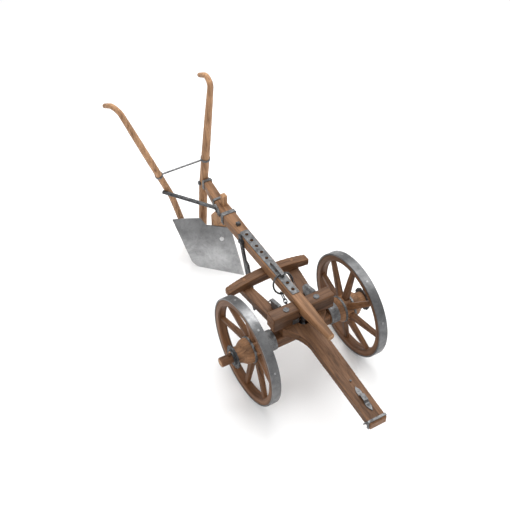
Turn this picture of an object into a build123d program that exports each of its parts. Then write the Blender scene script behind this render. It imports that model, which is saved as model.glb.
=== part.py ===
"""Wheeled mouldboard plough: a wooden beam, body and stilts whose front rides on a two-wheeled forecarriage.

Millimetres. +Z is up, -Y is the way it travels, +X is the land side and -X the furrow side.
The origin is on the ground, under the middle of the whole plough. Heights are from the ground.
"""

from build123d import *
from math import atan2, cos, degrees, pi, sin
import os

os.makedirs("parts", exist_ok=True)

# ---- driving dimensions ----
AXLE_X, AXLE_Y = 25.12, -213.0  # the axle's middle, seen from the origin
WHEEL_R = 270.0
TRACK = 580.0
SPOKE_ROOT_X = 252.0  # the spokes lean outwards from here to the rim, so the wheels are dished
TYRE_W, TYRE_T = 46.0, 7.0
FELLOE_W, FELLOE_DEPTH = 44.0, 31.0
SPOKES = 8
NAVE_R = 63.0
ARM_R = 24.0
RUNNING_FIT = 0.08
BED_HALF, BED_DEEP, BED_BOTTOM, BED_TOP = 148.0, 76.0, 236.0, 304.0
NAVE_IN, NAVE_OUT = 150.0, 356.0

POLE_T, POLE_NOSE_Y = 44.0, -636.0
DECK_TOP = 354.0  # top of the pole's tail and of the hounds, which the bolster turns on
DECK_GAP = 0.5
KING_Y, KING_R = -23.0, 11.0
RECESS_R = 34.0
BOLSTER_HALF, BOLSTER_FRONT, BOLSTER_REAR, BOLSTER_TOP = 165.0, -32.0, 33.0, 437.0

BEAM_TOP, BEAM_BOTTOM = 461.0, 406.0
SADDLE_Z = 408.0  # underside of the beam on the bolster, and height of the rocking axis
BEAM_HALF_AT_BOLSTER = 27.0
PLATE_T = 4.0
HOLE_R, HOLE_PITCH, HOLE_COUNT, LAST_HOLE_Y = 9.0, 47.6, 10, 501.0
PIN_HOLE = 7  # counted from the rear, starting at 0
PIN_Y = LAST_HOLE_Y - PIN_HOLE * HOLE_PITCH

STILT_R = 22.0
LAND_STILT_X = 20.0
SOLE_TOP, SOLE_REAR, SOLE_LAND, SOLE_FURROW = 50.0, 1062.0, 62.0, -8.0
PLATE_BODY_T = 6.0

# Three planes through the ground point under the axle. On SIDE, sketch x runs rearwards and y up.
PLAN = Plane(origin=(AXLE_X, AXLE_Y, 0), x_dir=(1, 0, 0), z_dir=(0, 0, 1))
SIDE = Plane(origin=(AXLE_X, AXLE_Y, 0), x_dir=(0, 1, 0), z_dir=(1, 0, 0))
FRONT = Plane(origin=(AXLE_X, AXLE_Y, 0), x_dir=(1, 0, 0), z_dir=(0, -1, 0))


def at(x, y, z):
    """A point given from the ground under the axle."""
    return Vector(AXLE_X + x, AXLE_Y + y, z)


def save(piece, name):
    piece.part.label = name
    export_step(piece.part, f"parts/{name}.step")


# ---- wheels: iron tyre on four felloes, eight spokes and a turned nave with three iron bands ----
FELLOE_OUT = WHEEL_R - TYRE_T
FELLOE_IN = FELLOE_OUT - FELLOE_DEPTH
BAND_T = 4.0
NAVE_BANDS = [(152, 198, 47.0), (222, 233, NAVE_R), (270, 281, NAVE_R)]
HEAD_R, NAIL_R, NAIL_LONG = 7.0, 3.0, 24.0

for side, name in ((-1, "furrow"), (1, "land")):
    hub = Plane(origin=at(0, 0, WHEEL_R), x_dir=(side, 0, 0), z_dir=(0, 0, 1))
    hub_axis = Axis(hub.origin, (1, 0, 0))
    across = Plane(origin=hub.origin, x_dir=(0, 1, 0), z_dir=(1, 0, 0))
    middle = across.offset(side * TRACK / 2)

    with BuildPart() as spokes:
        for k in range(SPOKES):
            turn = 2 * pi * k / SPOKES
            radial = Vector(0, cos(turn), sin(turn))
            foot = at(side * SPOKE_ROOT_X, 0, WHEEL_R) + radial * (NAVE_R - 16)
            head = at(side * TRACK / 2, 0, WHEEL_R) + radial * (FELLOE_IN + 9)
            with BuildSketch(Plane(origin=foot, x_dir=(1, 0, 0), z_dir=radial)):
                RectangleRounded(28, 36, 7)
            with BuildSketch(Plane(origin=head, x_dir=(1, 0, 0), z_dir=radial)):
                RectangleRounded(22, 25, 7)
            loft()
    save(spokes, f"{name}_spokes")

    with BuildPart() as nails:
        for k in range(SPOKES):
            turn = 2 * pi * (k + 0.5) / SPOKES
            inward = Vector(0, -cos(turn), -sin(turn))
            head = Plane(origin=at(side * TRACK / 2, 0, WHEEL_R) - inward * (WHEEL_R + 1.6), z_dir=inward)
            with BuildSketch(head):
                Circle(HEAD_R - 2)
            with BuildSketch(head.offset(3)):
                Circle(HEAD_R)
            loft()
            with BuildSketch(head.offset(3)):
                Circle(NAIL_R)
            extrude(amount=NAIL_LONG)
    save(nails, f"{name}_tyre_nails")

    with BuildPart() as tyre:
        with BuildSketch(middle):
            Circle(WHEEL_R)
            Circle(FELLOE_OUT, mode=Mode.SUBTRACT)
        extrude(amount=TYRE_W / 2, both=True)
        fillet(tyre.edges().filter_by(GeomType.CIRCLE).group_by(SortBy.RADIUS)[-1], 2)
        add(nails.part, mode=Mode.SUBTRACT)
    save(tyre, f"{name}_tyre")

    with BuildPart() as felloes:
        with BuildSketch(middle):
            Circle(FELLOE_OUT)
            Circle(FELLOE_IN, mode=Mode.SUBTRACT)
        extrude(amount=FELLOE_W / 2, both=True)
        fillet(felloes.edges().filter_by(GeomType.CIRCLE).group_by(SortBy.RADIUS)[0], 7)
        chamfer(felloes.edges().filter_by(GeomType.CIRCLE).group_by(SortBy.RADIUS)[-1], 2)
        for turn in (22.5, 112.5):
            with BuildSketch(middle):
                Rectangle(3 * WHEEL_R, 0.8, rotation=turn)
                Circle(FELLOE_IN - 5, mode=Mode.SUBTRACT)
            extrude(amount=FELLOE_W, both=True, mode=Mode.SUBTRACT)
        add(spokes.part, mode=Mode.SUBTRACT)
        add(nails.part, mode=Mode.SUBTRACT)
    save(felloes, f"{name}_felloes")

    with BuildPart() as nave:
        with BuildSketch(hub):
            with BuildLine():
                rise = Line((198, 47), (217, NAVE_R))
                barrel = Line(rise @ 1, (284, NAVE_R))
                shoulder = ThreePointArc(barrel @ 1, (303, 60), (318, 51))
                neck = ThreePointArc(shoulder @ 1, (330, 43), (346, 40))
                lip = Line(neck @ 1, (NAVE_OUT, 40))
                bore = ARM_R + RUNNING_FIT
                Polyline(lip @ 1, (NAVE_OUT, bore), (NAVE_IN, bore), (NAVE_IN, 47), rise @ 0)
            make_face()
        revolve(axis=hub_axis)
        add(spokes.part, mode=Mode.SUBTRACT)
    save(nave, f"{name}_nave")

    with BuildPart() as bands:
        for start, end, inner in NAVE_BANDS:
            with BuildSketch(across.offset(side * start)):
                Circle(inner + BAND_T)
                Circle(inner, mode=Mode.SUBTRACT)
            extrude(amount=side * (end - start))
        fillet(bands.edges().filter_by(GeomType.CIRCLE).group_by(SortBy.RADIUS)[-1], 2)
    save(bands, f"{name}_nave_bands")

# ---- axle: one squared timber with a turned arm at each end ----
ARM_END = 431.0
LINCH_X, LINCH_R, LINCH_LOW, LINCH_TOP = 381.0, 6.0, 236.0, 316.0
WASHER_IN, WASHER_T, WASHER_R, BOSS_R = NAVE_OUT + 1.0, 6.0, 58.0, 38.0

with BuildPart() as axle:
    with Locations(at(0, 0, (BED_BOTTOM + BED_TOP) / 2)):
        Box(2 * BED_HALF, BED_DEEP, BED_TOP - BED_BOTTOM)
    chamfer(axle.edges().filter_by(Axis.X), 5)
    with BuildSketch(SIDE.offset(-ARM_END)):
        with Locations((0, WHEEL_R)):
            Circle(ARM_R)
    extrude(amount=2 * ARM_END)
    chamfer(axle.faces().sort_by(Axis.X)[0].edges(), 4)
    chamfer(axle.faces().sort_by(Axis.X)[-1].edges(), 4)
    with Locations(at(0, KING_Y, WHEEL_R)):
        Cylinder(KING_R + RUNNING_FIT, 2 * WHEEL_R, mode=Mode.SUBTRACT)
    with Locations(at(-LINCH_X, 0, WHEEL_R), at(LINCH_X, 0, WHEEL_R)):
        Cylinder(LINCH_R + RUNNING_FIT, 4 * ARM_R, mode=Mode.SUBTRACT)

for side, name in ((-1, "furrow"), (1, "land")):
    with BuildPart() as washer:
        with BuildSketch(SIDE.offset(side * WASHER_IN)):
            with Locations((0, WHEEL_R)):
                Circle(WASHER_R)
                with PolarLocations(WASHER_R + 2, 14):
                    Circle(6, mode=Mode.SUBTRACT)
                Circle(ARM_R, mode=Mode.SUBTRACT)
        extrude(amount=side * WASHER_T)
        with BuildSketch(SIDE.offset(side * (WASHER_IN + WASHER_T))):
            with Locations((0, WHEEL_R)):
                Circle(BOSS_R)
                Circle(ARM_R, mode=Mode.SUBTRACT)
        extrude(amount=side * 9)
    save(washer, f"{name}_hub_washer")

    with BuildPart() as linch_pin:
        with Locations(at(side * LINCH_X, 0, (LINCH_LOW + LINCH_TOP) / 2)):
            Cylinder(LINCH_R, LINCH_TOP - LINCH_LOW)
        chamfer(linch_pin.edges().group_by(Axis.Z)[0], 2)
        chamfer(linch_pin.edges().group_by(Axis.Z)[-1], 1.5)
    save(linch_pin, f"{name}_linch_pin")

# ---- pole: a plank that slopes down to its nose and flares at the tail, bored wide round the kingpin ----
POLE_DROP = 66.0
SHOULDER_Y, SHOULDER_HALF, TAIL_HALF, TAIL_END = -36.0, 121.0, 54.0, 38.0
NOSE_HALF = 43.0

with BuildPart() as pole:
    with BuildSketch(SIDE):
        with BuildLine():
            Polyline(
                (TAIL_END, DECK_TOP),
                (SHOULDER_Y, DECK_TOP),
                (POLE_NOSE_Y, DECK_TOP - POLE_DROP),
                (POLE_NOSE_Y, DECK_TOP - POLE_DROP - POLE_T + 4),
                (SHOULDER_Y - 60, BED_TOP + 3),
                (SHOULDER_Y, BED_TOP),
                (TAIL_END, BED_TOP),
                close=True,
            )
        make_face()
    extrude(amount=SHOULDER_HALF, both=True)
    with BuildSketch(PLAN):
        with BuildLine() as edge:
            nose = Line((0, POLE_NOSE_Y), (NOSE_HALF, POLE_NOSE_Y))
            run = Line(nose @ 1, (47, -160))
            flare = ThreePointArc(run @ 1, (71, -92), (SHOULDER_HALF, SHOULDER_Y))
            Polyline(flare @ 1, (TAIL_HALF, SHOULDER_Y), (TAIL_HALF, TAIL_END), (0, TAIL_END))
            mirror(about=Plane.YZ)
        make_face()
        with Locations((0, KING_Y)):
            Circle(RECESS_R, mode=Mode.SUBTRACT)
    extrude(amount=DECK_TOP + 10, mode=Mode.INTERSECT)
    chamfer(pole.faces().sort_by(Axis.Y)[0].edges(), 3)

with BuildPart() as pole_band:
    with BuildSketch(FRONT.offset(-(POLE_NOSE_Y + 9))):
        with Locations((0, DECK_TOP - POLE_DROP - POLE_T / 2 + 3)):
            Rectangle(2 * NOSE_HALF + 7, POLE_T + 3)
    extrude(amount=-12)
    add(pole.part, mode=Mode.SUBTRACT)
save(pole_band, "pole_band")

with BuildPart() as pole_spike:
    with BuildSketch(SIDE.offset(-NOSE_HALF - 4.2)):
        with Locations((POLE_NOSE_Y + 26, DECK_TOP - POLE_DROP - 14)):
            Circle(6)
    with BuildSketch(SIDE.offset(-NOSE_HALF - 18)):
        with Locations((POLE_NOSE_Y + 28, DECK_TOP - POLE_DROP - 17)):
            Circle(2.5)
    loft()
save(pole_spike, "pole_spike")

# The staple lies on the pole's sloping top: its own plane follows that slope.
POLE_TILT = atan2(POLE_DROP, SHOULDER_Y - POLE_NOSE_Y)
STAPLE_REAR, STAPLE_FRONT, STAPLE_HALF, STAPLE_T, STAPLE_RISE = -412.0, -550.0, 11.0, 4.0, 16.0
POLE_FACE = Plane(
    origin=at(3, SHOULDER_Y, DECK_TOP), x_dir=(1, 0, 0), z_dir=(0, -sin(POLE_TILT), cos(POLE_TILT))
)
POLE_SIDE = Plane(origin=POLE_FACE.origin, x_dir=POLE_FACE.y_dir, z_dir=(1, 0, 0))
STAPLE_NAILS = [STAPLE_REAR + 34, STAPLE_FRONT + 34]

with BuildPart() as pole_nails:
    for y in STAPLE_NAILS:
        with BuildSketch(POLE_FACE.offset(-20)):
            with Locations((0, y)):
                Circle(2.5)
        extrude(amount=20 + STAPLE_T)
        with BuildSketch(POLE_FACE.offset(STAPLE_T)):
            with Locations((0, y)):
                Circle(5)
        extrude(amount=2.5)
save(pole_nails, "pole_nails")

with BuildPart() as pole_staple:
    with BuildSketch(POLE_SIDE):
        with BuildLine():
            Polyline(
                (STAPLE_REAR, 0),
                (STAPLE_REAR - 48, 0),
                (STAPLE_REAR - 56, STAPLE_RISE - STAPLE_T),
                (STAPLE_FRONT + 56, STAPLE_RISE - STAPLE_T),
                (STAPLE_FRONT + 48, 0),
                (STAPLE_FRONT, 0),
                (STAPLE_FRONT, STAPLE_T),
                (STAPLE_FRONT + 46, STAPLE_T),
                (STAPLE_FRONT + 53, STAPLE_RISE),
                (STAPLE_REAR - 53, STAPLE_RISE),
                (STAPLE_REAR - 46, STAPLE_T),
                (STAPLE_REAR, STAPLE_T),
                close=True,
            )
        make_face()
    extrude(amount=STAPLE_HALF, both=True)
    with BuildSketch(POLE_FACE):
        with BuildLine():
            Polyline(
                (0, STAPLE_REAR),
                (STAPLE_HALF, STAPLE_REAR - 24),
                (STAPLE_HALF, STAPLE_FRONT + 24),
                (0, STAPLE_FRONT),
                (-STAPLE_HALF, STAPLE_FRONT + 24),
                (-STAPLE_HALF, STAPLE_REAR - 24),
                close=True,
            )
        make_face()
    extrude(amount=2 * STAPLE_RISE, mode=Mode.INTERSECT)
    add(pole_nails.part, mode=Mode.SUBTRACT)
save(pole_staple, "pole_staple")

with BuildPart() as pole_trimmed:
    add(pole.part)
    add(pole_nails.part, mode=Mode.SUBTRACT)
save(pole_trimmed, "pole")

# ---- hounds and sway bar: the tail of the forecarriage, with the sway bar up against the beam ----
HOUND_END, HOUND_REAR_BOTTOM = 316.0, 322.0
SWAY_X, SWAY_Y, SWAY_DEEP, SWAY_HALF, SWAY_BOW = -10.0, 297.0, 48.0, 226.0, 18.0
SWAY_CROWN = BEAM_BOTTOM - 0.3
PEG_R, PEG_X = 9.0, 133.0

HOUND_PEGS = [(-88, -14), (-88, 14), (88, -14), (88, 14)]
with BuildPart() as sway_pegs:
    with Locations(at(-PEG_X, SWAY_Y, 353), at(PEG_X, SWAY_Y, 353)):
        Cylinder(PEG_R, 90)
save(sway_pegs, "sway_pegs")

with BuildPart() as hound_pegs:
    with Locations(*[at(x, y, (BED_BOTTOM + DECK_TOP) / 2) for x, y in HOUND_PEGS]):
        Cylinder(PEG_R, DECK_TOP - BED_BOTTOM)
save(hound_pegs, "hound_pegs")

# The chain's ring hangs round this staple's bar with room to spare, so the carriage can turn and rock.
EYE_X, EYE_Y, EYE_Z, EYE_HALF, EYE_WIRE = -8.0, 81.0, 300.0, 29.0, 3.0
with BuildPart() as chain_staple:
    with BuildLine(PLAN.offset(EYE_Z)) as staple_path:
        FilletPolyline(
            (EYE_X - EYE_HALF, BED_DEEP / 2 - 14),
            (EYE_X - EYE_HALF, EYE_Y),
            (EYE_X + EYE_HALF, EYE_Y),
            (EYE_X + EYE_HALF, BED_DEEP / 2 - 14),
            radius=10,
        )
    with BuildSketch(staple_path.line ^ 0):
        Circle(EYE_WIRE)
    sweep()
save(chain_staple, "chain_staple")

with BuildPart() as axle_bored:
    add(axle.part)
    add(hound_pegs.part, mode=Mode.SUBTRACT)
    add(chain_staple.part, mode=Mode.SUBTRACT)
save(axle_bored, "axle")

for side, name in ((-1, "furrow"), (1, "land")):
    with BuildPart() as hound:
        with BuildSketch(SIDE):
            with BuildLine():
                Polyline(
                    (SHOULDER_Y + 0.5, DECK_TOP),
                    (SHOULDER_Y + 0.5, BED_TOP),
                    (40, BED_TOP),
                    (HOUND_END, HOUND_REAR_BOTTOM),
                    (HOUND_END, DECK_TOP),
                    close=True,
                )
            make_face()
        extrude(amount=200, both=True)
        with BuildSketch(PLAN):
            with BuildLine():
                Polyline(
                    (side * 54.6, SHOULDER_Y + 0.5),
                    (side * 117, SHOULDER_Y + 0.5),
                    (side * 164, HOUND_END),
                    (side * 110, HOUND_END),
                    close=True,
                )
            make_face()
        extrude(amount=DECK_TOP + 10, mode=Mode.INTERSECT)
        chamfer(hound.faces().sort_by(Axis.Y)[-1].edges(), 4)
        add(hound_pegs.part, mode=Mode.SUBTRACT)
        add(sway_pegs.part, mode=Mode.SUBTRACT)
    save(hound, f"{name}_hound")

with BuildPart() as sway_bar:
    with BuildSketch(PLAN):
        with BuildLine():
            left, right = SWAY_X - SWAY_HALF, SWAY_X + SWAY_HALF
            near, far = SWAY_Y - SWAY_DEEP / 2, SWAY_Y + SWAY_DEEP / 2
            front = ThreePointArc((left, near - SWAY_BOW + 6), (SWAY_X, near), (right, near - SWAY_BOW + 6))
            Line(front @ 1, (right, far - SWAY_BOW))
            rear = ThreePointArc((right, far - SWAY_BOW), (SWAY_X, far), (left, far - SWAY_BOW))
            Line(rear @ 1, front @ 0)
        make_face()
    extrude(amount=SWAY_CROWN + 20)
    with BuildSketch(FRONT):
        with BuildLine():
            crown = ThreePointArc((left, 386), (0, SWAY_CROWN), (right, 390))
            Polyline(crown @ 1, (right, DECK_TOP), (left, DECK_TOP), crown @ 0)
        make_face()
    extrude(amount=-2 * SWAY_Y, mode=Mode.INTERSECT)
    chamfer(sway_bar.faces().sort_by(Axis.X)[0].edges(), 6)
    chamfer(sway_bar.faces().sort_by(Axis.X)[-1].edges(), 6)
    add(sway_pegs.part, mode=Mode.SUBTRACT)
save(sway_bar, "sway_bar")

# ---- bolster: turns on the kingpin, and the beam rocks in its notch on a crowned floor ----
NOTCH_HALF = BEAM_HALF_AT_BOLSTER + 1.5
CROWN_R, CROWN_GAP = 50.0, 0.6
LINING_T, RECESS_TOP = 3.0, 384.0
BOLT_X, BOLT_HEAD_R = 82.0, 14.5

with BuildPart() as kingpin:
    with Locations(at(0, KING_Y, 311)):
        Cylinder(KING_R, 178)
    chamfer(kingpin.edges().group_by(Axis.Z)[0], 3)
save(kingpin, "kingpin")

with BuildPart() as bolster_bolts:
    with Locations(at(-BOLT_X, -2, BOLSTER_TOP + 2), at(BOLT_X, -2, BOLSTER_TOP + 2)):
        Cylinder(BOLT_HEAD_R, 4)
    fillet(bolster_bolts.edges().group_by(Axis.Z)[-1], 1.5)
    with Locations(at(-BOLT_X, -2, BOLSTER_TOP - 38), at(BOLT_X, -2, BOLSTER_TOP - 38)):
        Cylinder(6, 76)
save(bolster_bolts, "bolster_bolts")

with BuildPart() as king_strap:
    with BuildSketch(PLAN.offset(DECK_TOP + 2)):
        with Locations((0, KING_Y)):
            Circle(RECESS_R)
            Circle(RECESS_R - LINING_T, mode=Mode.SUBTRACT)
        with Locations((0, BOLSTER_FRONT - 50)):
            Rectangle(200, 100, mode=Mode.SUBTRACT)
        for side in (-1, 1):
            with Locations((side * (RECESS_R + 13), BOLSTER_FRONT - LINING_T / 2)):
                Rectangle(34, LINING_T)
    extrude(amount=RECESS_TOP - DECK_TOP - 3)

with BuildPart() as strap_nails:
    with BuildSketch(FRONT.offset(-BOLSTER_FRONT + LINING_T)):
        with Locations((-RECESS_R - 18, 370), (RECESS_R + 18, 370)):
            Circle(5)
    extrude(amount=2)
    with BuildSketch(FRONT.offset(-BOLSTER_FRONT + LINING_T)):
        with Locations((-RECESS_R - 18, 370), (RECESS_R + 18, 370)):
            Circle(2.5)
    extrude(amount=-24)
save(strap_nails, "strap_nails")

with BuildPart() as king_strap_bored:
    add(king_strap.part)
    add(strap_nails.part, mode=Mode.SUBTRACT)
save(king_strap_bored, "king_strap")

with BuildPart() as bolster:
    with BuildSketch(PLAN.offset(DECK_TOP + DECK_GAP)):
        with Locations((0, (BOLSTER_FRONT + BOLSTER_REAR) / 2)):
            Rectangle(2 * BOLSTER_HALF, BOLSTER_REAR - BOLSTER_FRONT)
    extrude(amount=BOLSTER_TOP - DECK_TOP - DECK_GAP)
    chamfer(bolster.edges().filter_by(Axis.X).group_by(Axis.Z)[-1], 5)
    chamfer(bolster.edges().filter_by(Axis.Z), 4)
    with BuildSketch(SIDE):
        with BuildLine():
            low = SADDLE_Z - CROWN_GAP - CROWN_R * (1 - cos(0.8))
            reach = CROWN_R * sin(0.8)
            floor = ThreePointArc((-reach, low), (0, SADDLE_Z - CROWN_GAP), (reach, low))
            Polyline(floor @ 1, (reach, 500), (-reach, 500), floor @ 0)
        make_face()
    extrude(amount=NOTCH_HALF, both=True, mode=Mode.SUBTRACT)
    with Locations(at(0, KING_Y, DECK_TOP)):
        Cylinder(RECESS_R, 2 * (RECESS_TOP - DECK_TOP), mode=Mode.SUBTRACT)
    for fitting in (kingpin, bolster_bolts, strap_nails):
        add(fitting.part, mode=Mode.SUBTRACT)
save(bolster, "bolster")

BRACKET_X, WEB_T, FLANGE_W = 86.0, 5.0, 16.0
with BuildPart() as brackets:
    for side in (-1, 1):
        with BuildSketch(SIDE.offset(side * BRACKET_X)):
            with BuildLine():
                Polyline(
                    (BOLSTER_REAR, DECK_TOP + 1),
                    (BOLSTER_REAR, BOLSTER_TOP),
                    (BOLSTER_REAR + 5, BOLSTER_TOP),
                    (108, 417),
                    (124, 388),
                    (112, DECK_TOP + 1),
                    close=True,
                )
            make_face()
        extrude(amount=side * WEB_T)
        with BuildSketch(SIDE.offset(side * BRACKET_X)):
            with BuildLine():
                Polyline(
                    (BOLSTER_REAR, BOLSTER_TOP),
                    (BOLSTER_REAR + 5, BOLSTER_TOP),
                    (108, 417),
                    (124, 388),
                    (120, 387),
                    (105, 413),
                    (BOLSTER_REAR + 4, BOLSTER_TOP - 4),
                    (BOLSTER_REAR + 4, DECK_TOP + 1),
                    (BOLSTER_REAR, DECK_TOP + 1),
                    close=True,
                )
            make_face()
        extrude(amount=side * FLANGE_W)
save(brackets, "bolster_brackets")

# ---- beam: hewn timber, bored through for the regulator pin and tenoned into the land stilt ----
PEG_BASE_X, PEG_BASE_Y, PEG_TOP = 15.0, 760.0, 528.0
PEG_W, PEG_DEEP = 25.0, 30.0
TENON_X, TENON_Z = 20.0, 453.0
BEAM_REAR = 968.0
SQUARE_BOLT_Y = 586.0


def hole_ys():
    return [LAST_HOLE_Y - k * HOLE_PITCH for k in range(HOLE_COUNT)]


# Stations along the beam: y, then its left, right, bottom and top.
BEAM_STATIONS = [
    (-60, -27, 27, SADDLE_Z, 461),
    (110, -27, 27, SADDLE_Z, 461),
    (240, -28, 28, BEAM_BOTTOM, 461),
    (540, -31, 31, BEAM_BOTTOM, 461),
    (690, -33, 37, BEAM_BOTTOM, 461),
    (815, -18, 36, 411, 463),
    (BEAM_REAR, 0, 40, 436, 483),
]


with BuildPart() as beam:
    for y, left, right, low, high in BEAM_STATIONS:
        with BuildSketch(FRONT.offset(-y)):
            with Locations(((left + right) / 2, (low + high) / 2)):
                RectangleRounded(right - left, high - low, 7)
    loft(ruled=True)
    with BuildSketch(FRONT.offset(60)):
        with Locations((0, (BEAM_TOP + SADDLE_Z) / 2)):
            RectangleRounded(54, BEAM_TOP - SADDLE_Z, 7)
    with BuildSketch(FRONT.offset(250)):
        with Locations((0, 445)):
            RectangleRounded(36, 36, 17)
    loft()
    chamfer(beam.faces().sort_by(Axis.Y)[0].edges(), 3)
    with Locations(at(TENON_X, BEAM_REAR + 12, TENON_Z)):
        Box(16, 28, 34)
    with Locations(*[at(0, y, BEAM_TOP) for y in hole_ys()]):
        Cylinder(HOLE_R, 4 * (BEAM_TOP - BEAM_BOTTOM), mode=Mode.SUBTRACT)
    with Locations(at(PEG_BASE_X, PEG_BASE_Y, BEAM_TOP)):
        Box(PEG_W, PEG_DEEP, 200, mode=Mode.SUBTRACT)
    with Locations(at(0, SQUARE_BOLT_Y, BEAM_TOP)):
        Cylinder(6, 200, mode=Mode.SUBTRACT)

PLATE_FRONT, PLATE_REAR = 44.0, 532.0
PLATE_NAILS = [(-15, PLATE_REAR - 10), (15, PLATE_REAR - 10), (-12, PLATE_FRONT + 10), (12, PLATE_FRONT + 10)]
with BuildPart() as plate_nails:
    with BuildSketch(PLAN.offset(BEAM_TOP + PLATE_T)):
        with Locations(*PLATE_NAILS):
            Circle(4)
    extrude(amount=1.5)
    with BuildSketch(PLAN.offset(BEAM_TOP + PLATE_T)):
        with Locations(*PLATE_NAILS):
            Circle(2)
    extrude(amount=-24)
save(plate_nails, "plate_nails")

with BuildPart() as plate:
    with BuildSketch(PLAN.offset(BEAM_TOP)):
        with BuildLine():
            Polyline(
                (-19, PLATE_FRONT),
                (19, PLATE_FRONT),
                (24, PLATE_REAR - 10),
                (19, PLATE_REAR),
                (-19, PLATE_REAR),
                (-24, PLATE_REAR - 10),
                close=True,
            )
        make_face()
        with Locations(*[(0, y) for y in hole_ys()]):
            Circle(HOLE_R, mode=Mode.SUBTRACT)
    extrude(amount=PLATE_T)
    add(plate_nails.part, mode=Mode.SUBTRACT)
save(plate, "regulator_plate")

with BuildPart() as square_bolt:
    with Locations(at(0, SQUARE_BOLT_Y, BEAM_TOP + 8)):
        Box(19, 19, 16)
    chamfer(square_bolt.edges().group_by(Axis.Z)[-1], 2)
    with Locations(at(0, SQUARE_BOLT_Y, (BEAM_TOP + BEAM_BOTTOM) / 2 - 7)):
        Cylinder(6, BEAM_TOP - BEAM_BOTTOM + 14)
    with Locations(at(0, SQUARE_BOLT_Y, BEAM_BOTTOM - 5)):
        Box(20, 20, 10)
save(square_bolt, "beam_bolt")

# ---- beam bands: hot-fitted iron straps, cut to the beam's own section ----
# Each row: y, width, then the strap's left, right, bottom and top.
BAND_ROWS = {
    "wide": (690, 22, -37, 41, 402, 465),
    "peg": (806, 14, -24, 41, 407, 469),
    "rear": (946, 16, -7, 44, 428, 485),
}
bands_made = {}
for name, (y, wide, left, right, low, high) in BAND_ROWS.items():
    with BuildPart() as band_block:
        with BuildSketch(FRONT.offset(-y - wide / 2)):
            with Locations(((left + right) / 2, (low + high) / 2)):
                RectangleRounded(right - left, high - low, 6)
        extrude(amount=wide)
        add(beam.part, mode=Mode.SUBTRACT)
    with BuildPart() as band:
        add(band_block.part.solids().sort_by(SortBy.VOLUME)[-1])
    bands_made[name] = band.part
    save(band, f"{name}_beam_band")

# ---- stilts: bent rods, the land one on the sole and the furrow one swept out to the side ----
LAND_PATH = [(1035, SOLE_TOP - 10), (999, 399), (855, 1177), (982, 1106)]
FURROW_PATH = [(-62, 1030, 12), (-170, 989, 424), (-461, 856, 1177), (-470, 982, 1104)]
STILT_BEND, GRIP_BEND = 260, 38
# Radius of each stilt at shares of its length, thickest below and slim at the grip.
LAND_GIRTH = [(0, 22), (0.5, 22), (0.84, 16.5), (1, 12)]
FURROW_GIRTH = [(0, 17), (0.5, 17.5), (0.84, 15), (1, 11.5)]
GRIP_END_R = 6.0

BOLT_Y, BOLT_Z = 991.0, 440.0
with BuildPart() as stilt_bolt:
    with BuildSketch(SIDE.offset(LAND_STILT_X - STILT_R - 8)):
        with Locations((BOLT_Y, BOLT_Z)):
            Circle(12)
    extrude(amount=9)
    with BuildSketch(SIDE.offset(LAND_STILT_X - STILT_R - 4)):
        with Locations((BOLT_Y, BOLT_Z)):
            Circle(5)
    extrude(amount=2 * STILT_R + 8)
    with BuildSketch(SIDE.offset(LAND_STILT_X + STILT_R - 1)):
        with Locations((BOLT_Y, BOLT_Z)):
            RegularPolygon(11, 4)
    extrude(amount=7)
save(stilt_bolt, "stilt_bolt")

with BuildPart() as land_stilt:
    with BuildLine(SIDE.offset(LAND_STILT_X)) as land_path:
        FilletPolyline(*LAND_PATH, radius=[STILT_BEND, GRIP_BEND])
    for share_along, girth in LAND_GIRTH:
        with BuildSketch(land_path.line ^ share_along):
            Circle(girth)
    sweep(multisection=True)
    split(bisect_by=Plane.XY.offset(SOLE_TOP))
    fillet((land_stilt.faces().filter_by(GeomType.PLANE).sort_by(Axis.Z)[-1]).edges(), GRIP_END_R)
    add(beam.part, mode=Mode.SUBTRACT)
    add(stilt_bolt.part, mode=Mode.SUBTRACT)
save(land_stilt, "land_stilt")

with BuildPart() as furrow_stilt:
    with BuildLine(PLAN) as furrow_path:
        FilletPolyline(*FURROW_PATH, radius=[STILT_BEND, GRIP_BEND])
    for share_along, girth in FURROW_GIRTH:
        with BuildSketch(furrow_path.line ^ share_along):
            Circle(girth)
    sweep(multisection=True)
    fillet((furrow_stilt.faces().filter_by(GeomType.PLANE).sort_by(Axis.Z)[-1]).edges(), GRIP_END_R)
    fillet((furrow_stilt.faces().filter_by(GeomType.PLANE).sort_by(Axis.Z)[0]).edges(), 3)

with BuildPart() as beam_finished:
    add(beam.part)
    add(stilt_bolt.part, mode=Mode.SUBTRACT)
    add(plate_nails.part, mode=Mode.SUBTRACT)

RUNG_Y, RUNG_Z, RUNG_R = 1028.0, 30.0, 12.0
with BuildPart() as foot_rung:
    with BuildSketch(SIDE.offset(SOLE_FURROW + 14)):
        with Locations((RUNG_Y, RUNG_Z)):
            Circle(RUNG_R)
    extrude(amount=-(SOLE_FURROW + 14 + 66))
    add(furrow_stilt.part, mode=Mode.SUBTRACT)
with BuildPart() as rung:
    add(foot_rung.part.solids().sort_by(Axis.X)[-1])
save(rung, "foot_rung")

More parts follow.
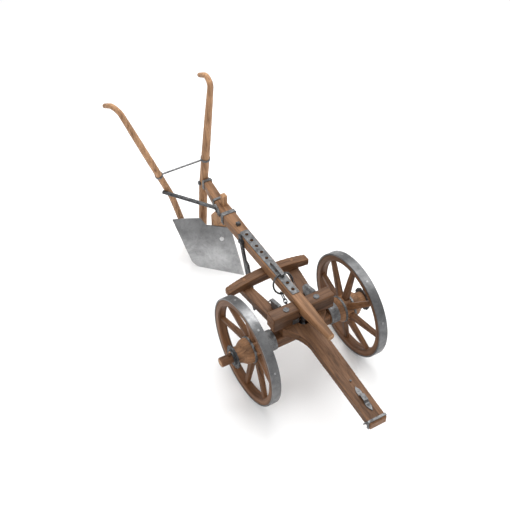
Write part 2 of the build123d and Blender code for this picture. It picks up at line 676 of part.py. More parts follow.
ROD_Y, ROD_Z, ROD_R, COLLAR_HIGH = 956.0, 618.0, 5.0, 13.0
COLLARS = [
    (at(LAND_STILT_X, 958, ROD_Z), Vector(0, -0.182, 0.983), 22),
    (at(-245, 955, ROD_Z), Vector(-0.361, -0.165, 0.918), 17.5),
]
with BuildPart() as stilt_rod:
    with BuildSketch(SIDE.offset(LAND_STILT_X - 10)):
        with Locations((ROD_Y, ROD_Z)):
            Circle(ROD_R)
    extrude(amount=-245)
    for centre, lean, girth in COLLARS:
        with BuildSketch(Plane(origin=centre - lean * (COLLAR_HIGH / 2), z_dir=lean)):
            Circle(girth + 3.5)
        extrude(amount=COLLAR_HIGH)
    add(land_stilt.part, mode=Mode.SUBTRACT)
    add(furrow_stilt.part, mode=Mode.SUBTRACT)
    rod_piece = stilt_rod.part.solids().sort_by(SortBy.VOLUME)[-1]
with BuildPart() as stilt_rod_clean:
    add(rod_piece)
save(stilt_rod_clean, "stilt_rod")

BRACE_R = 10.0
BRACE_OUT, BRACE_IN = at(-226, 970, 490), at(-38, 757, 462)
PAD_NAILS = [(722, 441), (743, 447)]
with BuildPart() as brace_nails:
    with BuildSketch(SIDE.offset(-42)):
        with Locations(*PAD_NAILS):
            Circle(5)
    extrude(amount=3)
    with BuildSketch(SIDE.offset(-42)):
        with Locations(*PAD_NAILS):
            Circle(2.5)
    extrude(amount=28)
save(brace_nails, "brace_nails")

with BuildPart() as stilt_brace:
    with BuildSketch(Plane(origin=BRACE_OUT, z_dir=BRACE_IN - BRACE_OUT)):
        Circle(BRACE_R)
    extrude(amount=(BRACE_IN - BRACE_OUT).length)
    with BuildSketch(SIDE.offset(-39)):
        with BuildLine():
            Polyline((768, 474), (768, 448), (716, 430), (710, 448), close=True)
        make_face()
    extrude(amount=12)
    for piece in (beam, furrow_stilt, brace_nails):
        add(piece.part, mode=Mode.SUBTRACT)
    brace_piece = stilt_brace.part.solids().sort_by(SortBy.VOLUME)[-1]
with BuildPart() as stilt_brace_clean:
    add(brace_piece)
save(stilt_brace_clean, "stilt_brace")

with BuildPart() as beam_bored:
    add(beam_finished.part)
    add(brace_nails.part, mode=Mode.SUBTRACT)
save(beam_bored, "beam")

save(furrow_stilt, "furrow_stilt")

# ---- plough body: sole, standard, share and mouldboard ----
def blade_section(z):
    """Plan outline of the share and mouldboard at height z: shin at the front, wing at the rear."""
    up = z / 290
    shin = Vector(71 - 12 * up, 660 + 136 * up)
    wing = Vector(-129 - 63 * up, 861 + 95 * up)
    across = (wing - shin).normalized()
    back = Vector(-across.Y, across.X)
    if back.Y < 0:
        back = -back
    hollow = (shin + wing) * 0.5 + back * (0.2 + 15 * up)
    skin = back * PLATE_BODY_T
    return shin, hollow, wing, skin


with BuildPart() as blade:
    for z in (0, 145, 290):
        shin, hollow, wing, skin = blade_section(z)
        with BuildSketch(PLAN.offset(z)):
            with BuildLine():
                face = ThreePointArc(shin, hollow, wing)
                Line(face @ 1, wing + skin)
                rear_face = ThreePointArc(wing + skin, hollow + skin, shin + skin)
                Line(rear_face @ 1, shin)
            make_face()
    loft()
    with BuildSketch(FRONT):
        with BuildLine():
            corner = ThreePointArc((-104, -1), (-123, 11), (-138, 38))
            Polyline(corner @ 1, (-170, 38), (-170, -1), corner @ 0)
        make_face()
    extrude(amount=-1200, mode=Mode.SUBTRACT)

# Everything ahead of the blade's face, which the wood behind it must not reach.
with BuildPart() as ahead:
    for z in (0, 145, 290):
        shin, hollow, wing, skin = blade_section(z)
        with BuildSketch(PLAN.offset(z)):
            with BuildLine():
                face = ThreePointArc(shin, hollow, wing)
                Polyline(face @ 1, wing - skin * 30, shin - skin * 30, face @ 0)
            make_face()
    loft()

with BuildPart() as sole_blank:
    with BuildSketch(PLAN):
        with BuildLine():
            Polyline(
                (SOLE_LAND, 650),
                (SOLE_LAND, SOLE_REAR),
                (SOLE_FURROW, SOLE_REAR),
                (SOLE_FURROW, 650),
                close=True,
            )
        make_face()
    extrude(amount=SOLE_TOP)
    chamfer(sole_blank.edges().group_by(Axis.Z)[-1].filter_by(Axis.Y), 3)
    add(blade.part, mode=Mode.SUBTRACT)
    add(rung.part, mode=Mode.SUBTRACT)
with BuildPart() as sole:
    add(sole_blank.part.solids().sort_by(Axis.Y)[-1])
save(sole, "sole")

STANDARD_IN, STANDARD_OUT = -4.0, 52.0
with BuildPart() as standard_blank:
    with BuildSketch(SIDE.offset(STANDARD_IN)):
        with BuildLine():
            Polyline(
                (730, BEAM_BOTTOM),
                (806, BEAM_BOTTOM),
                (830, 366),
                (878, 303),
                (878, SOLE_TOP),
                (700, SOLE_TOP),
                (768, 262),
                (752, 320),
                close=True,
            )
        make_face()
    extrude(amount=STANDARD_OUT - STANDARD_IN)
    with BuildSketch(PLAN.offset(BEAM_BOTTOM - 2)):
        with Locations((PEG_BASE_X, PEG_BASE_Y)):
            Rectangle(PEG_W, PEG_DEEP)
    extrude(amount=PEG_TOP - BEAM_BOTTOM)
    chamfer(standard_blank.edges().group_by(Axis.Z)[-1], 6)
    add(ahead.part, mode=Mode.SUBTRACT)
    add(blade.part, mode=Mode.SUBTRACT)
    add(beam.part, mode=Mode.SUBTRACT)
    add(bands_made["peg"], mode=Mode.SUBTRACT)
with BuildPart() as standard:
    add(standard_blank.part.solids().sort_by(SortBy.VOLUME)[-1])

SHARE_TOP = 46.0
BOLT_SEAT = at(13, 795, 187)
BODY_OUT = Vector(-0.68, -0.68, 0.28).normalized()
with BuildPart() as body_bolt:
    with BuildSketch(Plane(origin=BOLT_SEAT, z_dir=BODY_OUT)):
        Circle(4)
    extrude(amount=-40)
    with BuildSketch(Plane(origin=BOLT_SEAT, z_dir=BODY_OUT)):
        Circle(13)
    with BuildSketch(Plane(origin=BOLT_SEAT + BODY_OUT * 4.5, z_dir=BODY_OUT)):
        Circle(9)
    loft()
save(body_bolt, "body_bolt")

with BuildPart() as mouldboard:
    add(blade.part)
    with BuildSketch(FRONT):
        with BuildLine():
            Polyline((90, 254), (-38, 254), (-56, 288), (-56, 300), (90, 300), close=True)
        make_face()
    extrude(amount=-1200, mode=Mode.SUBTRACT)
    with BuildSketch(FRONT):
        with Locations((0, SHARE_TOP / 2)):
            Rectangle(600, SHARE_TOP + 0.6)
    extrude(amount=-1200, mode=Mode.SUBTRACT)
    add(body_bolt.part, mode=Mode.SUBTRACT)
save(mouldboard, "mouldboard")

with BuildPart() as share:
    add(blade.part)
    with BuildSketch(FRONT):
        with Locations((0, SHARE_TOP / 2)):
            Rectangle(600, SHARE_TOP)
    extrude(amount=-1200, mode=Mode.INTERSECT)
save(share, "share")

with BuildPart() as standard_bored:
    add(standard.part)
    add(body_bolt.part, mode=Mode.SUBTRACT)
save(standard_bored, "standard")

# ---- coulter: a knife that slides in an iron clamp on the furrow side of the beam ----
SHANK_T, SHANK_W = 10.0, 26.0
COULTER_LEAN = Vector(0, -0.319, -0.948)
COULTER = Plane(origin=at(-37, 503, 478), x_dir=(1, 0, 0), z_dir=COULTER_LEAN)
COULTER_FLAT = Plane(origin=COULTER.origin, x_dir=COULTER.y_dir, z_dir=(1, 0, 0))
CLAMP_DOWN, CLAMP_HIGH, COULTER_FIT = 28.0, 20.0, 0.3

with BuildPart() as coulter:
    with BuildSketch(COULTER_FLAT):
        with BuildLine():
            Polyline(
                (SHANK_W / 2, 0),
                (SHANK_W / 2, 142),
                (SHANK_W / 2 + 20, 158),
                (SHANK_W / 2 + 18, 330),
                (10, 436),
                (-4, 436),
                (-SHANK_W / 2, 340),
                (-SHANK_W / 2, 0),
                close=True,
            )
        make_face()
    extrude(amount=SHANK_T / 2, both=True)
    chamfer(coulter.edges().group_by(Axis.Y)[0], 3)
save(coulter, "coulter")

with BuildPart() as coulter_clamp:
    with BuildSketch(COULTER.offset(CLAMP_DOWN)):
        Rectangle(SHANK_T + 9, SHANK_W + 9)
        Rectangle(SHANK_T + 2 * COULTER_FIT, SHANK_W + 2 * COULTER_FIT, mode=Mode.SUBTRACT)
    extrude(amount=CLAMP_HIGH)
    add(beam.part, mode=Mode.SUBTRACT)
save(coulter_clamp, "coulter_clamp")

# ---- regulator pin, and the draught ring that it holds back ----
RING_R, RING_WIRE, RING_LEAN = 52.0, 4.5, 23.0 * pi / 180
RING_Y, RING_Z = PIN_Y - 9.0, 425.9
PIN_R, TAIL_W = 6.0, 16.0
TAIL_END_Y = PIN_Y + 96

with BuildPart() as regulator_pin:
    with Locations(at(0, PIN_Y, 437.5)):
        Cylinder(PIN_R, 85)
    chamfer(regulator_pin.edges().group_by(Axis.Z)[0], 3)
    with BuildSketch(SIDE):
        with BuildLine():
            Polyline(
                (PIN_Y - 8, 479),
                (PIN_Y - 8, 485),
                (PIN_Y + 60, 487),
                (TAIL_END_Y, 481),
                (TAIL_END_Y, 476),
                (PIN_Y + 60, 482),
                close=True,
            )
        make_face()
    extrude(amount=TAIL_W / 2, both=True)
save(regulator_pin, "regulator_pin")

RING_PLANE = Plane(
    origin=at(0, RING_Y, RING_Z),
    x_dir=(1, 0, 0),
    z_dir=(0, -cos(RING_LEAN), sin(RING_LEAN)),
)
with BuildPart() as ring:
    with BuildSketch(Plane(origin=RING_PLANE.from_local_coords((RING_R, 0, 0)), z_dir=RING_PLANE.y_dir)):
        Circle(RING_WIRE)
    revolve(axis=Axis(RING_PLANE.origin, RING_PLANE.z_dir))
save(ring, "draught_ring")

# ---- chain: four forged links from the ring to an end ring that loops the staple behind the axle ----
LINK_WIRE, LINK_PLAY = 2.5, 0.6
LINK_HALVES = [10.5, 8.0, 8.0, 8.0]
END_RING_R, END_WIRE = 24.0, 3.0
HITCH_TURN, END_TURN = 250.0 * pi / 180, 63.0 * pi / 180
HITCH = RING_PLANE.from_local_coords((RING_R * cos(HITCH_TURN), RING_R * sin(HITCH_TURN), 0))
END_POINT = at(EYE_X, EYE_Y + END_RING_R * cos(END_TURN), EYE_Z + END_RING_R * sin(END_TURN))
JOINTS = [HITCH, at(-14, 119, 358), at(-12, 109, 345), at(-10, 100, 333), END_POINT]
GRIPS = [RING_WIRE + 2.0, 0.0, 0.0, 0.0, END_WIRE]

with BuildPart() as chain_end_ring:
    with BuildSketch(Plane(origin=at(EYE_X, EYE_Y, EYE_Z + END_RING_R), x_dir=(1, 0, 0), z_dir=(0, 1, 0))):
        Circle(END_WIRE)
    revolve(axis=Axis(at(EYE_X, EYE_Y, EYE_Z), (1, 0, 0)))
save(chain_end_ring, "chain_end_ring")

with BuildPart() as chain:
    for k in range(len(JOINTS) - 1):
        along = (JOINTS[k + 1] - JOINTS[k]).normalized()
        first = JOINTS[k] - along * (GRIPS[k] + LINK_WIRE + LINK_PLAY)
        last = JOINTS[k + 1] + along * (GRIPS[k + 1] + LINK_WIRE + LINK_PLAY)
        edge_on = along.cross(Vector(1, 0, 0)).normalized()
        normal = edge_on if k % 2 == 1 else edge_on.cross(along)
        link_plane = Plane(origin=(first + last) * 0.5, x_dir=along, z_dir=normal)
        half = LINK_HALVES[k]
        reach = (last - first).length / 2 - half
        with BuildLine(link_plane) as loop:
            lower = Line((-reach, -half), (reach, -half))
            tip = ThreePointArc(lower @ 1, (reach + half, 0), (reach, half))
            upper = Line(tip @ 1, (-reach, half))
            ThreePointArc(upper @ 1, (-reach - half, 0), lower @ 0)
        with BuildSketch(Plane(origin=loop.line @ 0, z_dir=along)):
            Circle(LINK_WIRE)
        sweep(path=loop.line)
save(chain, "draught_chain")
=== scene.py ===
from math import radians

import bmesh
import bpy
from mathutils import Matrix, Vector


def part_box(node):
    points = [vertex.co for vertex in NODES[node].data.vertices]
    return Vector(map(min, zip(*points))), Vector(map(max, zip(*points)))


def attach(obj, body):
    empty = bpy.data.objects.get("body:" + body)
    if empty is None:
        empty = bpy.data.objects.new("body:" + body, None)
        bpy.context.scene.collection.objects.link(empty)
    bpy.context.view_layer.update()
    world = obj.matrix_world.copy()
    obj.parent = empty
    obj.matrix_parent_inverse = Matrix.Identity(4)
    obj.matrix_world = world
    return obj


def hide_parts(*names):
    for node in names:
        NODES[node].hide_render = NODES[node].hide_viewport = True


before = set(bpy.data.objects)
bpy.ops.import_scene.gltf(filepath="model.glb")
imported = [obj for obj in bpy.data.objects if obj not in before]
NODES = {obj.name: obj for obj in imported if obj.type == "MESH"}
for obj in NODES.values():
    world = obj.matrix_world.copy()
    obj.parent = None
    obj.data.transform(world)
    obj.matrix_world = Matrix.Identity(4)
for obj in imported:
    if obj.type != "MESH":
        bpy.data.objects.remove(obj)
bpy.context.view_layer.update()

# The studio: a pale floor, a bright even sky, one large soft lamp above the rear and two weaker ones.
# The camera stands high on the furrow side, ahead of the wheels, and looks down the plough.
bpy.ops.object.camera_add(
    location=(-1.6189, -2.607, 3.597), rotation=(radians(90 - 44.59), 0, radians(-30.33))
)
camera = bpy.context.object
camera.data.lens = 65.33
camera.data.sensor_width = 36
camera.data.clip_end = 50
bpy.context.scene.camera = camera

world = bpy.data.worlds.new("studio_sky")
world.use_nodes = True
world.node_tree.nodes["Background"].inputs["Color"].default_value = (1, 1, 1, 1)
world.node_tree.nodes["Background"].inputs["Strength"].default_value = 0.85
bpy.context.scene.world = world
bpy.context.scene.view_settings.view_transform = "Standard"

LAMP_AIM = Vector((0, 0.1, 0.3))
for lamp_name, place, size, power in (
    ("overhead_lamp", (0.5, 1.1, 3.3), 2.4, 84),
    ("front_lamp", (-2.8, -1.6, 2.4), 2.0, 26),
    ("rim_lamp", (2.2, -0.6, 2.8), 1.8, 26),
):
    lamp = bpy.data.lights.new(lamp_name, "AREA")
    lamp.size = size
    lamp.energy = power
    lamp_object = bpy.data.objects.new(lamp_name, lamp)
    lamp_object.location = place
    aim = LAMP_AIM - Vector(place)
    lamp_object.rotation_euler = aim.to_track_quat("-Z", "Y").to_euler()
    bpy.context.scene.collection.objects.link(lamp_object)

floor_mesh = bpy.data.meshes.new("floor")
shape = bmesh.new()
bmesh.ops.create_grid(shape, x_segments=2, y_segments=2, size=30)
shape.to_mesh(floor_mesh)
shape.free()
floor = bpy.data.objects.new("floor", floor_mesh)
bpy.context.scene.collection.objects.link(floor)
floor_paint = bpy.data.materials.new("pale_floor")
floor_paint.use_nodes = True
floor_shader = floor_paint.node_tree.nodes["Principled BSDF"]
floor_shader.inputs["Base Color"].default_value = (0.92, 0.92, 0.92, 1)
floor_shader.inputs["Roughness"].default_value = 0.9
floor_shader.inputs["Specular IOR Level"].default_value = 0.1
floor.data.materials.append(floor_paint)

# The two wheels. Each has a turned nave, eight shaved spokes and four sawn felloes, all of oiled elm and
# ash gone dark, inside a shrunk-on iron tyre held by eight nails. The grain follows each piece's own shape.
HUB_CENTRES = {}
for side in ("furrow", "land"):
    low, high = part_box(f"{side}_tyre")
    HUB_CENTRES[side] = Vector([(a + b) / 2 for a, b in zip(low, high)])


GRAIN_SQUEEZE = 17.0  # how much finer the figure is across the grain than along it
RELIEF_DEPTH = 0.0012


class Wiring:
    """Adds nodes to a material and joins them, so that a finish reads from top to bottom."""

    def __init__(self, name):
        self.material = bpy.data.materials.new(name)
        self.material.use_nodes = True
        self.tree = self.material.node_tree
        self.shader = self.tree.nodes["Principled BSDF"]

    def add(self, kind, settings=None, **sockets):
        """Sockets go by name, or by number as i0, i1 and so on where names repeat."""
        made = self.tree.nodes.new(kind)
        for key, value in (settings or {}).items():
            setattr(made, key, value)
        for key, value in sockets.items():
            numbered = key[0] == "i" and key[1:].isdigit()
            self.put(made.inputs[int(key[1:]) if numbered else key], value)
        return made

    def put(self, socket, value):
        if isinstance(value, bpy.types.NodeSocket):
            self.tree.links.new(value, socket)
        else:
            socket.default_value = value

    def noise(self, where, scale, detail=6, rough=0.6, twist=0.0):
        return self.add(
            "ShaderNodeTexNoise",
            Vector=where, Scale=scale, Detail=detail, Roughness=rough, Distortion=twist,
        ).outputs["Fac"]

    def ramp(self, value, *stops):
        """Stops are (place, colour) or (place, grey)."""
        made = self.add("ShaderNodeValToRGB", Fac=value)
        line = made.color_ramp.elements
        while len(line) < len(stops):
            line.new(0.5)
        for spot, (place, colour) in zip(line, stops):
            spot.position = place
            spot.color = (*colour, 1) if isinstance(colour, tuple) else (colour, colour, colour, 1)
        return made.outputs["Color"]

    def blend(self, share, below, above, how="MIX"):
        made = self.add("ShaderNodeMix", {"data_type": "RGBA", "blend_type": how})
        self.put(made.inputs[0], share)
        for socket, value in ((made.inputs[6], below), (made.inputs[7], above)):
            self.put(socket, (*value, 1) if isinstance(value, tuple) and len(value) == 3 else value)
        return made.outputs[2]

    def maths(self, what, first, second=0.0):
        return self.add("ShaderNodeMath", {"operation": what}, i0=first, i1=second).outputs[0]


def along_grain(w, grain, centre):
    """Coordinates squeezed across the grain: straight along an axis, round a hub, or out from it."""
    here = w.add("ShaderNodeTexCoord").outputs["Object"]
    here = w.add("ShaderNodeMapping", Vector=here, Location=tuple(-Vector(centre))).outputs[0]
    if grain in "XYZ":
        squeeze = [1.0 if grain == axis else GRAIN_SQUEEZE for axis in "XYZ"]
        return w.add("ShaderNodeMapping", Vector=here, Scale=squeeze).outputs[0]
    parts = w.add("ShaderNodeSeparateXYZ", Vector=here).outputs
    y_square = w.maths("POWER", parts[1], 2.0)
    z_square = w.maths("POWER", parts[2], 2.0)
    reach = w.maths("SQRT", w.maths("ADD", y_square, z_square))
    turn = w.maths("ARCTAN2", parts[2], parts[1])
    across = w.maths("MULTIPLY", parts[0], GRAIN_SQUEEZE)
    if grain == "round":
        pair = (w.maths("MULTIPLY", reach, GRAIN_SQUEEZE), w.maths("MULTIPLY", turn, 0.25))
    else:
        pair = (w.maths("MULTIPLY", reach, 1.0), w.maths("MULTIPLY", turn, 2.8))
    return w.add("ShaderNodeCombineXYZ", X=across, Y=pair[0], Z=pair[1]).outputs[0]


def old_timber(name, light, dark, grain, centre=(0, 0, 0), end_tone=None, worn=0.0):
    """Oiled, handled timber: long streaks, dark pores, drying cracks, and paler sawn ends."""
    w = Wiring(name)
    where = along_grain(w, grain, centre)
    streak = w.noise(where, 3.2, 9, 0.62, 0.7)
    middle = tuple((a + b) / 2 for a, b in zip(light, dark))
    tone = w.ramp(streak, (0.27, dark), (0.44, middle), (0.66, light))
    patch = w.ramp(w.noise(where, 0.55, 4, 0.55, 0.3), (0.34, 0.62), (0.62, 1.12))
    tone = w.blend(0.75, tone, patch, "MULTIPLY")
    pores = w.ramp(w.noise(where, 15, 5, 0.7), (0.36, 0.5), (0.52, 1.0))
    tone = w.blend(0.55, tone, pores, "MULTIPLY")
    vein = w.noise(where, 2.1, 3, 0.5, 1.1)
    crack = w.ramp(vein, (0.488, 1.0), (0.498, 0.25), (0.502, 0.25), (0.512, 1.0))
    crack_here = w.ramp(w.noise(where, 0.7, 2), (0.52, 0.0), (0.64, 0.7))
    tone = w.blend(crack_here, tone, w.blend(1.0, tone, crack, "MULTIPLY"))
    if grain in "XYZ":
        facing = w.add("ShaderNodeTexCoord").outputs["Normal"]
        facing = w.add("ShaderNodeSeparateXYZ", Vector=facing).outputs["XYZ".index(grain)]
        end = w.ramp(w.maths("ABSOLUTE", facing), (0.86, 0.0), (0.96, 1.0))
        fibres = w.noise(w.add("ShaderNodeTexCoord").outputs["Object"], 70, 6, 0.7)
        rings = w.ramp(fibres, (0.3, 0.45), (0.7, 1.15))
        sawn = w.blend(1.0, end_tone or light, rings, "MULTIPLY")
        tone = w.blend(end, tone, sawn)
    if worn:
        edge = w.add("ShaderNodeNewGeometry").outputs["Pointiness"]
        rubbed = w.ramp(edge, (0.515, 0.0), (0.56, worn))
        tone = w.blend(rubbed, tone, tuple(min(1.0, 1.35 * c) for c in light))
        # Grime plus painted shade: the colour is darkened in concave hollows, where shade falls. The paler
        # rubbed edges above are wear.
        grime_and_painted_shade = w.ramp(edge, (0.44, 0.75), (0.49, 0.0))
        tone = w.blend(grime_and_painted_shade, tone, tuple(0.35 * c for c in dark))
    w.put(w.shader.inputs["Base Color"], tone)
    w.put(w.shader.inputs["Roughness"], w.ramp(streak, (0.3, 0.72), (0.7, 0.46)))
    height = w.maths("ADD", w.maths("MULTIPLY", streak, 0.6), w.maths("MULTIPLY", pores, 0.35))
    height = w.maths("ADD", height, w.maths("MULTIPLY", crack, 0.5))
    bump = w.add("ShaderNodeBump", Strength=0.55, Distance=RELIEF_DEPTH, Height=height)
    w.put(w.shader.inputs["Normal"], bump.outputs[0])
    w.shader.inputs["Specular IOR Level"].default_value = 0.35
    return w.material


def forged_iron(
    name, light, dark, rust=0.25, metal=0.75, scale=60.0, scuff=0.0, rough=0.45, even=0.0, painted_shade_top=None
):
    """Hammered iron: mottled scale, small pits, brown rust in patches and brighter rubbed scuffs.

    A larger even value flattens the mottling. Given a top height, painted shade lightens the colour low
    down and darkens it towards that height.
    """
    w = Wiring(name)
    here = w.add("ShaderNodeTexCoord").outputs["Object"]
    mottle = w.noise(here, scale, 10, 0.68, 0.4)
    tone = w.ramp(mottle, (0.32, dark), (0.66, light))
    broad = w.noise(here, scale * 0.17, 4, 0.55, 0.6)
    tone = w.blend(0.8 - even, tone, w.ramp(broad, (0.3, 0.55), (0.7, 1.25)), "MULTIPLY")
    pits = w.noise(here, scale * 9, 3, 0.6)
    tone = w.blend(0.6 - even, tone, w.ramp(pits, (0.33, 0.3), (0.45, 1.0)), "MULTIPLY")
    rusty = w.ramp(w.noise(here, scale * 0.5, 6, 0.7, 0.9), (0.54, 0.0), (0.68, rust))
    tone = w.blend(rusty, tone, (0.11, 0.052, 0.028))
    if scuff:
        lines = w.add("ShaderNodeMapping", Vector=here, Rotation=(0.5, 0.3, 0.6), Scale=(6, 60, 60))
        rubs = w.noise(lines.outputs[0], 9, 4, 0.7)
        tone = w.blend(w.ramp(rubs, (0.56, 0.0), (0.66, scuff)), tone, light)
    # Painted shade: the colour is lightened low down and darkened towards the given top height.
    if painted_shade_top:
        height_here = w.add("ShaderNodeSeparateXYZ", Vector=here).outputs["Z"]
        waver = w.maths("ADD", height_here, w.maths("MULTIPLY", w.noise(here, 7, 3), 0.12))
        share = w.maths("DIVIDE", waver, painted_shade_top)
        tone = w.blend(1.0, tone, w.ramp(share, (0.42, 1.15), (0.78, 0.8), (1.12, 0.5)), "MULTIPLY")
    w.put(w.shader.inputs["Base Color"], tone)
    w.shader.inputs["Metallic"].default_value = metal
    w.put(w.shader.inputs["Roughness"], w.ramp(mottle, (0.3, rough + 0.25), (0.7, rough)))
    height = w.maths("ADD", w.maths("MULTIPLY", mottle, 0.7), w.maths("MULTIPLY", pits, 0.3))
    bump = w.add("ShaderNodeBump", Strength=0.45, Distance=RELIEF_DEPTH, Height=height)
    w.put(w.shader.inputs["Normal"], bump.outputs[0])
    return w.material


def finish_node(material, *names):
    """Gives a frame node its finish in every slot it has."""
    for name in names:
        for held in NODES[name].material_slots:
            held.material = material


WHEEL_LIGHT, WHEEL_DARK = (0.20, 0.087, 0.032), (0.045, 0.018, 0.007)
NAVE_LIGHT, NAVE_DARK, NAVE_END = (0.33, 0.165, 0.075), (0.085, 0.038, 0.017), (0.24, 0.12, 0.06)
IRON_LIGHT, IRON_DARK = (0.145, 0.148, 0.152), (0.028, 0.028, 0.03)
BAND_LIGHT, BAND_DARK = (0.25, 0.253, 0.257), (0.085, 0.086, 0.088)
TYRE_LIGHT, TYRE_DARK = (0.19, 0.191, 0.194), (0.095, 0.096, 0.098)
NAIL_LIGHT, NAIL_DARK = (0.42, 0.424, 0.43), (0.16, 0.161, 0.164)
dark_iron = forged_iron("dark_forged_iron", IRON_LIGHT, IRON_DARK)
band_iron = forged_iron(
    "band_iron", BAND_LIGHT, BAND_DARK, rust=0.2, metal=0.8, scale=50, scuff=0.2, rough=0.38
)
tyre_iron = forged_iron(
    "tyre_iron", TYRE_LIGHT, TYRE_DARK, rust=0.06, metal=0.95, scale=17, scuff=0.2, rough=0.26, even=0.4
)
nail_iron = forged_iron("nail_iron", NAIL_LIGHT, NAIL_DARK, rust=0.1, metal=0.85, scale=70, rough=0.32)
for side in ("furrow", "land"):
    hub = HUB_CENTRES[side]
    felloe_wood = old_timber(f"{side}_felloe_wood", WHEEL_LIGHT, WHEEL_DARK, "round", hub)
    spoke_wood = old_timber(f"{side}_spoke_wood", WHEEL_LIGHT, WHEEL_DARK, "out", hub)
    nave_wood = old_timber(f"{side}_nave_wood", NAVE_LIGHT, NAVE_DARK, "X", hub, NAVE_END)
    finish_node(felloe_wood, f"{side}_felloes")
    finish_node(spoke_wood, f"{side}_spokes")
    finish_node(nave_wood, f"{side}_nave")
    finish_node(tyre_iron, f"{side}_tyre")
    finish_node(nail_iron, f"{side}_tyre_nails")
    finish_node(band_iron, f"{side}_nave_bands")
    finish_node(dark_iron, f"{side}_hub_washer")


# The forecarriage: an axle hewn from one timber, a flared pole and two hounds pegged on it, and a bowed
# sway bar across their tails. The edges are rounded by years of use, and the faces keep adze marks.
MERGE_GAP = 1e-5
ADZE_SPACING = 0.045


def hewn(node, body, material, voxel=0.0026, dents=0.0007):
    """A timber in the node's own shape with its edges worn round and its faces faintly uneven."""
    shape = bmesh.new()
    shape.from_mesh(NODES[node].data)
    bmesh.ops.remove_doubles(shape, verts=shape.verts, dist=MERGE_GAP)
    merged = bpy.data.meshes.new(f"{node}_blank")
    shape.to_mesh(merged)
    shape.free()
    blank = bpy.data.objects.new(f"{node}_blank", merged)
    bpy.context.scene.collection.objects.link(blank)
    remesh = blank.modifiers.new("grid", "REMESH")
    remesh.mode = "VOXEL"
    remesh.voxel_size = voxel
    remesh.use_smooth_shade = True
    worn = blank.modifiers.new("worn_edges", "SMOOTH")
    worn.factor = 0.5
    worn.iterations = 3
    waves = bpy.data.textures.new(f"{node}_adze", "CLOUDS")
    waves.noise_scale = ADZE_SPACING
    waves.noise_depth = 2
    adze = blank.modifiers.new("adze_marks", "DISPLACE")
    adze.texture = waves
    adze.texture_coords = "LOCAL"
    adze.strength = dents
    adze.mid_level = 0.62
    seen = blank.evaluated_get(bpy.context.evaluated_depsgraph_get())
    mesh = bpy.data.meshes.new_from_object(seen)
    mesh.name = f"{node}_timber"
    bpy.data.objects.remove(blank)
    timber = bpy.data.objects.new(f"{node}_timber", mesh)
    bpy.context.scene.collection.objects.link(timber)
    mesh.materials.clear()
    mesh.materials.append(material)
    for face in mesh.polygons:
        face.use_smooth = True
        face.material_index = 0
    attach(timber, body)
    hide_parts(node)
    return timber


CARRIAGE_LIGHT, CARRIAGE_DARK = (0.175, 0.080, 0.032), (0.04, 0.017, 0.007)
CARRIAGE_END, AXLE_END, PEG_END = (0.26, 0.135, 0.07), (0.40, 0.22, 0.11), (0.36, 0.2, 0.11)
pole_wood = old_timber(
    "pole_wood", CARRIAGE_LIGHT, CARRIAGE_DARK, "Y", end_tone=CARRIAGE_END, worn=0.6
)
cross_wood = old_timber(
    "cross_wood", CARRIAGE_LIGHT, CARRIAGE_DARK, "X", end_tone=CARRIAGE_END, worn=0.6
)
axle_wood = old_timber("axle_wood", WHEEL_LIGHT, WHEEL_DARK, "X", end_tone=AXLE_END, worn=0.5)
peg_wood = old_timber("peg_wood", CARRIAGE_LIGHT, CARRIAGE_DARK, "Z", end_tone=PEG_END)
hewn("axle", "forecarriage", axle_wood)
hewn("pole", "forecarriage", pole_wood)
hewn("furrow_hound", "forecarriage", pole_wood)
hewn("land_hound", "forecarriage", pole_wood)
hewn("sway_bar", "forecarriage", cross_wood)
finish_node(peg_wood, "furrow_linch_pin", "land_linch_pin")
finish_node(cross_wood, "hound_pegs", "sway_pegs")
finish_node(dark_iron, "pole_nails", "chain_staple")
finish_node(band_iron, "pole_band", "pole_staple", "pole_spike")

# The bolster rides on the carriage and turns on the kingpin. An iron strap lines its front recess, two
# bolts go down through it, and two bent brackets brace it from behind. The beam rocks in its notch.
BOLSTER_LIGHT, BOLSTER_DARK = (0.13, 0.058, 0.023), (0.028, 0.012, 0.005)
BOLT_LIGHT, BOLT_DARK = (0.17, 0.172, 0.176), (0.07, 0.071, 0.073)
bolster_wood = old_timber(
    "bolster_wood", BOLSTER_LIGHT, BOLSTER_DARK, "X", end_tone=CARRIAGE_END, worn=0.6
)
hewn("bolster", "saddle", bolster_wood)
bolt_iron = forged_iron("bolt_head_iron", BOLT_LIGHT, BOLT_DARK, rust=0.2, metal=0.7, scale=90)
finish_node(band_iron, "king_strap", "strap_nails", "bolster_brackets")
finish_node(dark_iron, "kingpin")
finish_node(bolt_iron, "bolster_bolts")

# The beam: one long hewn timber, pierced for the regulator pin under a nailed iron plate, bound with
# three straps at the rear and tenoned into the land stilt.
BEAM_LIGHT, BEAM_DARK, BEAM_END = (0.29, 0.147, 0.067), (0.075, 0.033, 0.014), (0.42, 0.24, 0.12)
PLATE_LIGHT, PLATE_DARK = (0.18, 0.182, 0.186), (0.08, 0.081, 0.083)
beam_wood = old_timber("beam_wood", BEAM_LIGHT, BEAM_DARK, "Y", end_tone=BEAM_END, worn=0.7)
hewn("beam", "plough", beam_wood)
plate_iron = forged_iron(
    "plate_iron", PLATE_LIGHT, PLATE_DARK, rust=0.1, metal=0.7, scale=45, scuff=0.2, even=0.3
)
finish_node(plate_iron, "regulator_plate", "plate_nails")
finish_node(band_iron, "wide_beam_band", "peg_beam_band", "rear_beam_band")
finish_node(dark_iron, "beam_bolt")

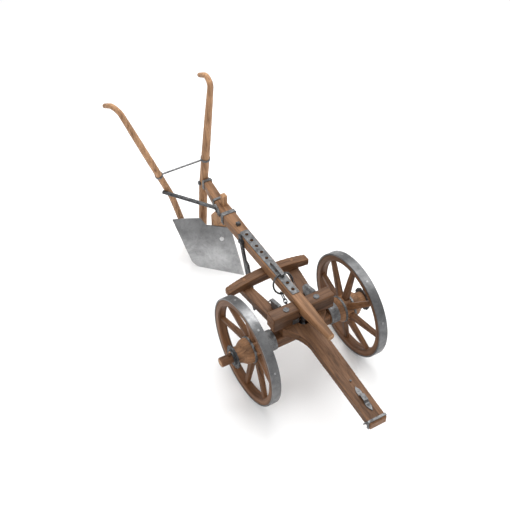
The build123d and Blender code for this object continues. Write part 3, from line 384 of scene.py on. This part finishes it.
# The stilts: two ash poles, bent over at the top into grips, worn smooth and pale where hands held them.
# An iron rod and a bar hold them apart, and a rung ties the furrow stilt's foot to the sole.
STILT_LIGHT, STILT_DARK = (0.51, 0.285, 0.145), (0.13, 0.06, 0.029)
stilt_wood = old_timber("stilt_wood", STILT_LIGHT, STILT_DARK, "Z", end_tone=BEAM_END, worn=0.4)
for stilt in ("land_stilt", "furrow_stilt"):
    hewn(stilt, "plough", stilt_wood, voxel=0.0022, dents=0.0012)
finish_node(band_iron, "stilt_rod")
finish_node(dark_iron, "stilt_brace", "brace_nails", "stilt_bolt")
finish_node(cross_wood, "foot_rung")

# The body: a plank standard tenoned through the beam, a long sole, and a twisted iron mouldboard above
# its share. Both are scoured steel, and painted shade makes them lighter low down and darker at the
# mouldboard's top.
standard = hewn("standard", "plough", stilt_wood)

# Above the mouldboard the plank's front edge is cut back along a slant, clear of the plate's top.
SLANT_LOW, SLANT_TURN, SLANT_HIGH = 0.256, 0.285, 0.345
SLANT_FRONT_Y, SLANT_RISE = 0.589, 0.50
for corner in standard.data.vertices:
    if SLANT_LOW < corner.co.z < SLANT_HIGH:
        slant_y = SLANT_FRONT_Y - SLANT_RISE * max(0.0, corner.co.z - SLANT_TURN)
        corner.co.y = max(corner.co.y, slant_y)
hewn("sole", "plough", pole_wood)

STEEL_LIGHT, STEEL_DARK, MOULDBOARD_TOP = (0.46, 0.463, 0.468), (0.23, 0.231, 0.234), 0.29
BRIGHT_LIGHT, BRIGHT_DARK = (0.75, 0.755, 0.76), (0.5, 0.503, 0.506)
# Scoured steel with painted shade: lighter low down, darker towards the mouldboard's top.
scoured_steel_with_painted_shade = forged_iron(
    "scoured_steel_with_painted_shade", STEEL_LIGHT, STEEL_DARK,
    rust=0.0, metal=0.8, scale=8, scuff=0.2, rough=0.3, even=0.4, painted_shade_top=MOULDBOARD_TOP,
)
bright_iron = forged_iron(
    "bright_bolt_iron", BRIGHT_LIGHT, BRIGHT_DARK, rust=0.0, metal=0.6, scale=90, rough=0.4, even=0.5
)
finish_node(scoured_steel_with_painted_shade, "mouldboard", "share")
finish_node(bright_iron, "body_bolt")

# The coulter: a forged knife that slides in an iron clamp on the furrow side of the beam.
COULTER_LIGHT, COULTER_DARK = (0.12, 0.122, 0.125), (0.03, 0.03, 0.032)
coulter_iron = forged_iron("coulter_iron", COULTER_LIGHT, COULTER_DARK, rust=0.3, scale=50, scuff=0.2)
finish_node(coulter_iron, "coulter")
finish_node(dark_iron, "coulter_clamp")

# The regulator pin drops into one of the beam's holes and holds back the draught ring. Four links and an
# end ring join that to the staple behind the axle.
finish_node(plate_iron, "regulator_pin")
finish_node(dark_iron, "draught_ring", "draught_chain", "chain_end_ring")
